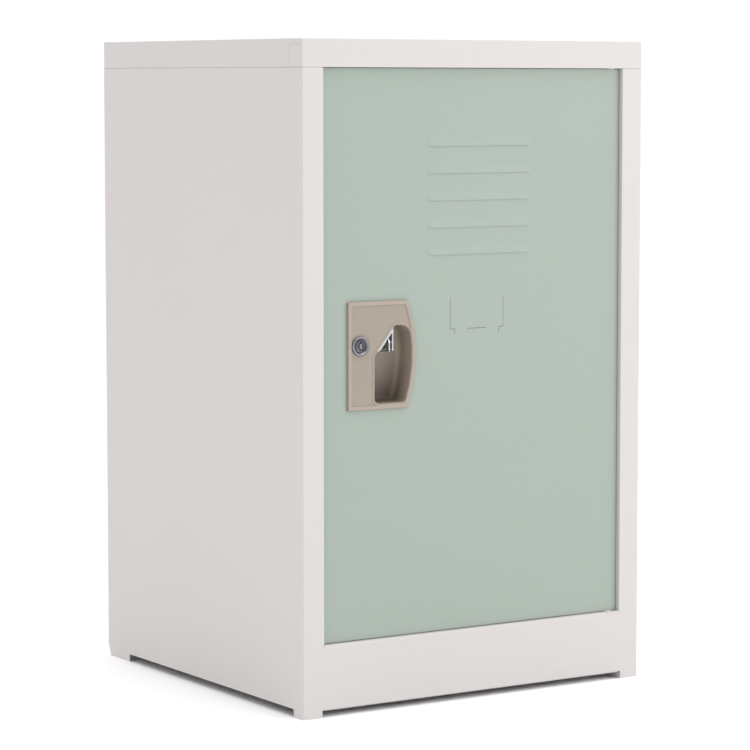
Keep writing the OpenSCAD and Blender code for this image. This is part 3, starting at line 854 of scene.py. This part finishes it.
def plate_outline(inward):
    """The plate's outline, counter-clockwise, pulled inwards by a distance."""
    half_h = PLATE_H / 2
    reach = math.degrees(math.asin(half_h / EDGE_ARC_R))
    bow = arc_points((EDGE_ARC_X, PLATE_MID_Z), EDGE_ARC_R, -reach, reach, 24)
    corners = [(PLATE_LEFT_X, PLATE_MID_Z - half_h)] + bow + [(PLATE_LEFT_X, PLATE_MID_Z + half_h)]
    radii = [0] * len(corners)
    radii[0] = radii[-1] = max(0.5 * MM, 1.5 * MM - inward)
    radii[1] = radii[-2] = max(0.5 * MM, 3 * MM - inward)
    return round_corners(inset(corners, inward), radii, 5)


def cup_outline(inward):
    """The finger cup's outline, pulled inwards or, where negative, outwards."""
    radius = EDGE_ARC_R - CUP_EDGE
    start = math.degrees(math.asin((CUP_LOW_Z - PLATE_MID_Z) / radius))
    end = math.degrees(math.asin((CUP_TOP_Z - PLATE_MID_Z) / radius))
    bow = arc_points((EDGE_ARC_X, PLATE_MID_Z), radius, start, end, 4)
    slant = [(CUP_LEFT_X + CUP_SLANT_W, CUP_TOP_Z), (CUP_LEFT_X, CUP_BEND_Z)]
    corners = [(CUP_LEFT_X, CUP_LOW_Z)] + bow + slant
    radii = [0] * len(corners)
    radii[0] = max(1.2 * MM, 5 * MM - inward)
    radii[1] = max(1.2 * MM, 4 * MM - inward)
    radii[-3] = max(1.5 * MM, 11 * MM - inward)
    radii[-2] = max(1.2 * MM, 3 * MM - inward)
    radii[-1] = max(1.2 * MM, 8 * MM - inward)
    return round_corners(inset(corners, inward), radii, 8)


def band_outline(inward):
    """The raised band that runs up from round the lock."""
    half_w = 9.6 * MM - inward
    top = PLATE_MID_Z + 39 * MM - inward
    ring = arc_points((LOCK_X, LOCK_Z), half_w, 180, 360, 24)
    return ring + [(LOCK_X + half_w, top), (LOCK_X - half_w, top)]


def stack(bm, outline, steps):
    """A closed shell through outlines pulled inwards at depths y; steps hold (inward, y)."""
    loops = [loop_at(bm, outline(inward), y) for inward, y in steps]
    loft(bm, loops)
    bm.faces.new(loops[0])
    bm.faces.new(loops[-1][::-1])


def quarter(inward, y, out_r, back_r, steps=5):
    """(inward, y) steps round a quarter turn, from the side of an edge to its face."""
    turns = [math.radians(90 * i / steps) for i in range(steps + 1)]
    return [(inward + out_r * (1 - math.cos(t)), y + back_r * (1 - math.sin(t))) for t in turns]


def slope(start, end, steps=4):
    """(inward, y) steps of a soft slope between two (inward, y) places."""
    run = []
    for i in range(steps + 1):
        share = i / steps
        soft = 0.5 - 0.5 * math.cos(math.pi * share)
        run.append((start[0] + (end[0] - start[0]) * share, start[1] + (end[1] - start[1]) * soft))
    return run


def handle_body(bm):
    """Plate with its rim and field, the pads on the field and the outside of the cup."""
    edge_r = 1.1 * MM
    plate = [(0, DOOR_Y)] + quarter(0, PLATE_Y, edge_r, edge_r)
    plate += slope((RIM_W - 0.4 * MM, PLATE_Y), (RIM_W, FIELD_Y))
    stack(bm, plate_outline, plate)
    stack(bm, cup_outline, [(-2.2 * MM, DOOR_Y - 0.4 * MM)] + slope((-2.2 * MM, FIELD_Y), (-1.6 * MM, LIP_Y)))
    band_rise = slope((-0.5 * MM, FIELD_Y), (0, FIELD_Y - 0.2 * MM), 3)
    stack(bm, band_outline, [(-0.5 * MM, DOOR_Y - 0.4 * MM)] + band_rise)
    outside = [(-CUP_WALL, DOOR_Y - 0.6 * MM)]
    round_back = quarter(-CUP_WALL, CUP_BACK_Y + CUP_WALL, 4 * MM, -4 * MM, 6)
    stack(bm, cup_outline, outside + round_back)


def handle_cutter(bm):
    """The inside of the cup, with its rounded brim and floor, and the lock's hole."""
    brim_r = 0.7 * MM
    steps = [(-brim_r, PLATE_Y - 2 * MM)]
    steps += [
        (-brim_r * math.cos(t), LIP_Y + brim_r * math.sin(t) ** 2)
        for t in [math.radians(90 * i / 6) for i in range(7)]
    ]
    steps += quarter(0.5 * MM, CUP_BACK_Y, 5 * MM, -5 * MM, 7)
    stack(bm, cup_outline, steps)
    extrude_into(bm, circle(LOCK_X, LOCK_Z, BARREL_R + 0.1 * MM), along_y, PLATE_Y - 2 * MM, DOOR_Y + MM)


def handle_moulding():
    """Moulded handle: the body with the cup and the lock's hole cut into it."""
    bm = bmesh.new()
    handle_body(bm)
    piece = add_object("handle_moulding", bm, "handle_plastic", "door", ["handle_shell"])
    cutter = bmesh.new()
    handle_cutter(cutter)
    return smooth(cut(piece, cutter), 38)


def padlock_staple():
    """Bright folded plate in the cup's upper corner with its leg, sill and ear."""
    steel = 1.4 * MM
    face_y = PLATE_Y + 1.6 * MM
    leg_x = staple_high.x
    low_z = staple_low.z
    bm = bmesh.new()
    # the plate follows the cup's slanting edge
    lean = (CUP_TOP_Z - CUP_BEND_Z) / CUP_SLANT_W
    left_x = CUP_LEFT_X + (low_z - CUP_BEND_Z) / lean + 0.6 * MM
    top_z = low_z + (leg_x - left_x) * lean
    triangle = [(left_x, low_z), (leg_x, low_z), (leg_x, top_z)]
    plate = round_corners(triangle, [0.5 * MM, 0.7 * MM, 0.4 * MM], 4)
    extrude_into(bm, plate, along_y, face_y, face_y + steel)
    piece = add_object("staple", bm, "bright_chrome", "door", ["padlock_staple"])
    # the triangular window leaves a frame: a wide slanting strip and narrow upright and sill
    window = bmesh.new()
    right_x = leg_x - 1.3 * MM
    sill_z = low_z + 1.2 * MM
    slant = 1.7 * MM * math.hypot(1, lean)
    hole_left_x = left_x + (sill_z - low_z + slant) / lean
    hole_top_z = low_z + (right_x - left_x) * lean - slant
    opening = [(hole_left_x, sill_z), (right_x, sill_z), (right_x, hole_top_z)]
    extrude_into(window, round_corners(opening, 0.25 * MM, 3), along_y, face_y - MM, face_y + steel + MM)
    cut(piece, window)

    def leg(bm):
        path = [Vector((leg_x - steel / 2, y)) for y in (face_y + steel, CUP_BACK_Y)]
        outline = band(path, [steel, steel])
        extrude_into(bm, outline, along_z, low_z + 0.5 * MM, low_z + 15 * MM)

    def sill(bm):
        box_into(bm, (left_x + 2 * MM, face_y, low_z), (leg_x - steel, face_y + 7 * MM, low_z + MM))

    def ear(bm):
        ear_x = leg_x - 6.4 * MM
        front_y = PLATE_Y - 0.7 * MM
        depth = 12 * MM
        height = 13 * MM
        hole_r = 3.3 * MM
        base = [(front_y, low_z), (front_y + depth, low_z)]
        arch = [
            (front_y + depth / 2 + depth / 2 * math.cos(t), low_z + height - 6 * MM + 6 * MM * math.sin(t))
            for t in [math.pi * i / 20 for i in range(21)]
        ]
        hole = arc_points((front_y + depth / 2, low_z + 6.6 * MM), hole_r, 0, 345, 23)
        rings = []
        for x in (ear_x, ear_x + steel):
            rings.append([[bm.verts.new((x, v, w)) for v, w in ring] for ring in (base + arch, hole)])
            fill_between(bm, rings[-1])
        for first, second in zip(*rings):
            loft(bm, [first, second])

    add_shells(piece, [leg, sill, ear])
    return smooth(piece, 35)


def lock_bezel():
    """Satin bezel with a rounded rim and a shallow dish, and the barrel behind it."""
    bm = bmesh.new()
    rim_y = barrel_low.y
    radius = (barrel_high.x - barrel_low.x) / 2
    plug_r = (plug_high.x - plug_low.x) / 2 + 0.1 * MM
    edge = 0.9 * MM
    profile = [(plug_r, barrel_high.y), (plug_r, rim_y + 1.0 * MM), (plug_r + 0.2 * MM, rim_y + 0.8 * MM)]
    profile += [
        (radius - 2.2 * MM, rim_y + 0.35 * MM),
        (radius - 1.9 * MM, rim_y + 0.08 * MM),
        (radius - 1.6 * MM, rim_y),
    ]
    profile += [
        (radius - edge * (1 - math.sin(math.radians(t))), rim_y + edge * (1 - math.cos(math.radians(t))))
        for t in range(0, 91, 15)
    ]
    profile += [(radius, FIELD_Y), (BARREL_R, FIELD_Y)]
    profile += [(BARREL_R, barrel_high.y - 0.4 * MM), (BARREL_R - 0.4 * MM, barrel_high.y)]
    lathe_y(bm, LOCK_X, LOCK_Z, profile + [profile[0]])
    return smooth(add_object("lock_bezel", bm, "satin_nickel", "door", ["lock_barrel"]), 35)


def key_plug():
    """Turning plug: dished face, keyway with its ward, squared tail; and a bright chrome blade in the keyway
    as a painted highlight.
    """
    bm = bmesh.new()
    radius = (plug_high.x - plug_low.x) / 2
    face_y = plug_low.y
    shoulder_y = barrel_high.y
    tail = 3.5 * MM
    lathe_y(
        bm,
        LOCK_X,
        LOCK_Z,
        [
            (0, face_y + 0.25 * MM),
            (radius - 1.5 * MM, face_y + 0.25 * MM),
            (radius - 1.1 * MM, face_y),
            (radius - 0.35 * MM, face_y),
            (radius, face_y + 0.35 * MM),
            (radius, shoulder_y),
            (0, shoulder_y),
        ],
    )
    box_into(bm, (LOCK_X - tail, shoulder_y - MM, LOCK_Z - tail), (LOCK_X + tail, plug_high.y, LOCK_Z + tail))
    piece = add_object("key_plug", bm, "lock_face", "lock_core", ["lock_plug"])
    keyway = bmesh.new()
    half_w = 0.75 * MM
    outline = [
        (LOCK_X - half_w, LOCK_Z - 3.6 * MM),
        (LOCK_X + half_w, LOCK_Z - 3.6 * MM),
        (LOCK_X + half_w, LOCK_Z - 0.6 * MM),
        (LOCK_X + half_w + 0.6 * MM, LOCK_Z - 0.2 * MM),
        (LOCK_X + half_w + 0.6 * MM, LOCK_Z + 0.9 * MM),
        (LOCK_X + half_w, LOCK_Z + 1.3 * MM),
        (LOCK_X + half_w, LOCK_Z + 3.6 * MM),
        (LOCK_X - half_w, LOCK_Z + 3.6 * MM),
    ]
    extrude_into(keyway, outline, along_y, face_y - MM, face_y + 9 * MM)
    # painted highlight: a bright chrome blade in the keyway that shows as a white bar
    highlight_blade = bmesh.new()
    blade = round_corners(
        [(LOCK_X - 0.1 * MM, LOCK_Z - 2.6 * MM), (LOCK_X + half_w, LOCK_Z - 2.6 * MM),
         (LOCK_X + half_w, LOCK_Z + 2.2 * MM), (LOCK_X - 0.1 * MM, LOCK_Z + 2.2 * MM)],
        0.2 * MM, 3,
    )
    extrude_into(highlight_blade, blade, along_y, face_y + 0.3 * MM, face_y + 1.2 * MM)
    add_object("keyway_highlight_blade", highlight_blade, "bright_chrome", "lock_core")
    return smooth(cut(piece, keyway), 35)


# ------------------------------------------------------------------ build

side_panel("side_left", "left_side_panel", -1, True)
side_panel("side_right", "right_side_panel", 1, False)
top_cover()
bottom_rail()
door_panel()
handle_moulding()
padlock_staple()
lock_bezel()
key_plug()

for part in frame["record"]["subparts"]:
    node = frame["nodes"][part["node"]]
    node.data.materials.clear()
    node.data.materials.append(MATERIALS[part["material_slot"]])


# ------------------------------------------------------------------ studio

WORLD_STRENGTH = 1.06
SENSOR_W = 36
FOCAL_LENGTH = 145.008
# share of the picture's width by which the lens is shifted, across and up
SHIFT = (-0.08, -0.02667)
EYE = (-1.57, -2.47862, 0.57103)
# the camera's turn about X, Y and Z, in degrees
EYE_TURN = (84.845, -0.094, -33.619)


def studio_floor():
    """White studio floor under the feet, wide enough to fill every view."""
    reach = 30
    depth = 20 * MM
    bm = bmesh.new()
    box_into(bm, (-reach, -reach, -depth), (reach, reach, 0))
    mesh = bpy.data.meshes.new("studio_floor")
    bm.to_mesh(mesh)
    bm.free()
    floor = link_new("studio_floor", mesh)
    material, tree, shader, coordinates = shader_nodes("studio_floor")
    mottle = noise(tree, coordinates, 3, 4, 0.6)
    tree.links.new(tint(tree, mottle, (0.965, 0.965, 0.965), (0.98, 0.98, 0.98)), shader.inputs["Base Color"])
    grain = noise(tree, coordinates, 240, 3)
    tree.links.new(spread(tree, grain, 0.85, 0.95), shader.inputs["Roughness"])
    tree.links.new(bump(tree, grain, 0.05 * MM, 0.3), shader.inputs["Normal"])
    mesh.materials.append(material)


def area_light(name, place, target, size, power):
    """A square light that looks at the target; size in metres, power in watts."""
    light = bpy.data.lights.new(name, "AREA")
    light.shape = "SQUARE"
    light.size = size
    light.energy = power
    lamp = link_new(name, light)
    lamp.location = place
    lamp.rotation_euler = (Vector(target) - Vector(place)).to_track_quat("-Z", "Y").to_euler()


def studio():
    """Floor, white surroundings, and a key light and a light from above."""
    studio_floor()
    world = bpy.data.worlds.new("studio")
    world.use_nodes = True
    background = world.node_tree.nodes["Background"]
    background.inputs["Color"].default_value = (1, 1, 1, 1)
    background.inputs["Strength"].default_value = WORLD_STRENGTH
    bpy.context.scene.world = world
    bpy.context.scene.view_settings.view_transform = "Standard"
    area_light("key", place=(2.3, -2.4, 1.1), target=(0, 0, 0.3), size=1.6, power=21)
    area_light("overhead", place=(0.3, -0.5, 3.0), target=(0.3, -0.5, 0), size=2.6, power=46)


def camera():
    """The camera at the photograph's angle: front left, a little above."""
    lens = bpy.data.cameras.new("camera")
    lens.sensor_width = SENSOR_W
    lens.lens = FOCAL_LENGTH
    lens.shift_x, lens.shift_y = SHIFT
    eye = link_new("camera", lens)
    eye.location = EYE
    eye.rotation_euler = [math.radians(angle) for angle in EYE_TURN]
    bpy.context.scene.camera = eye


studio()
camera()
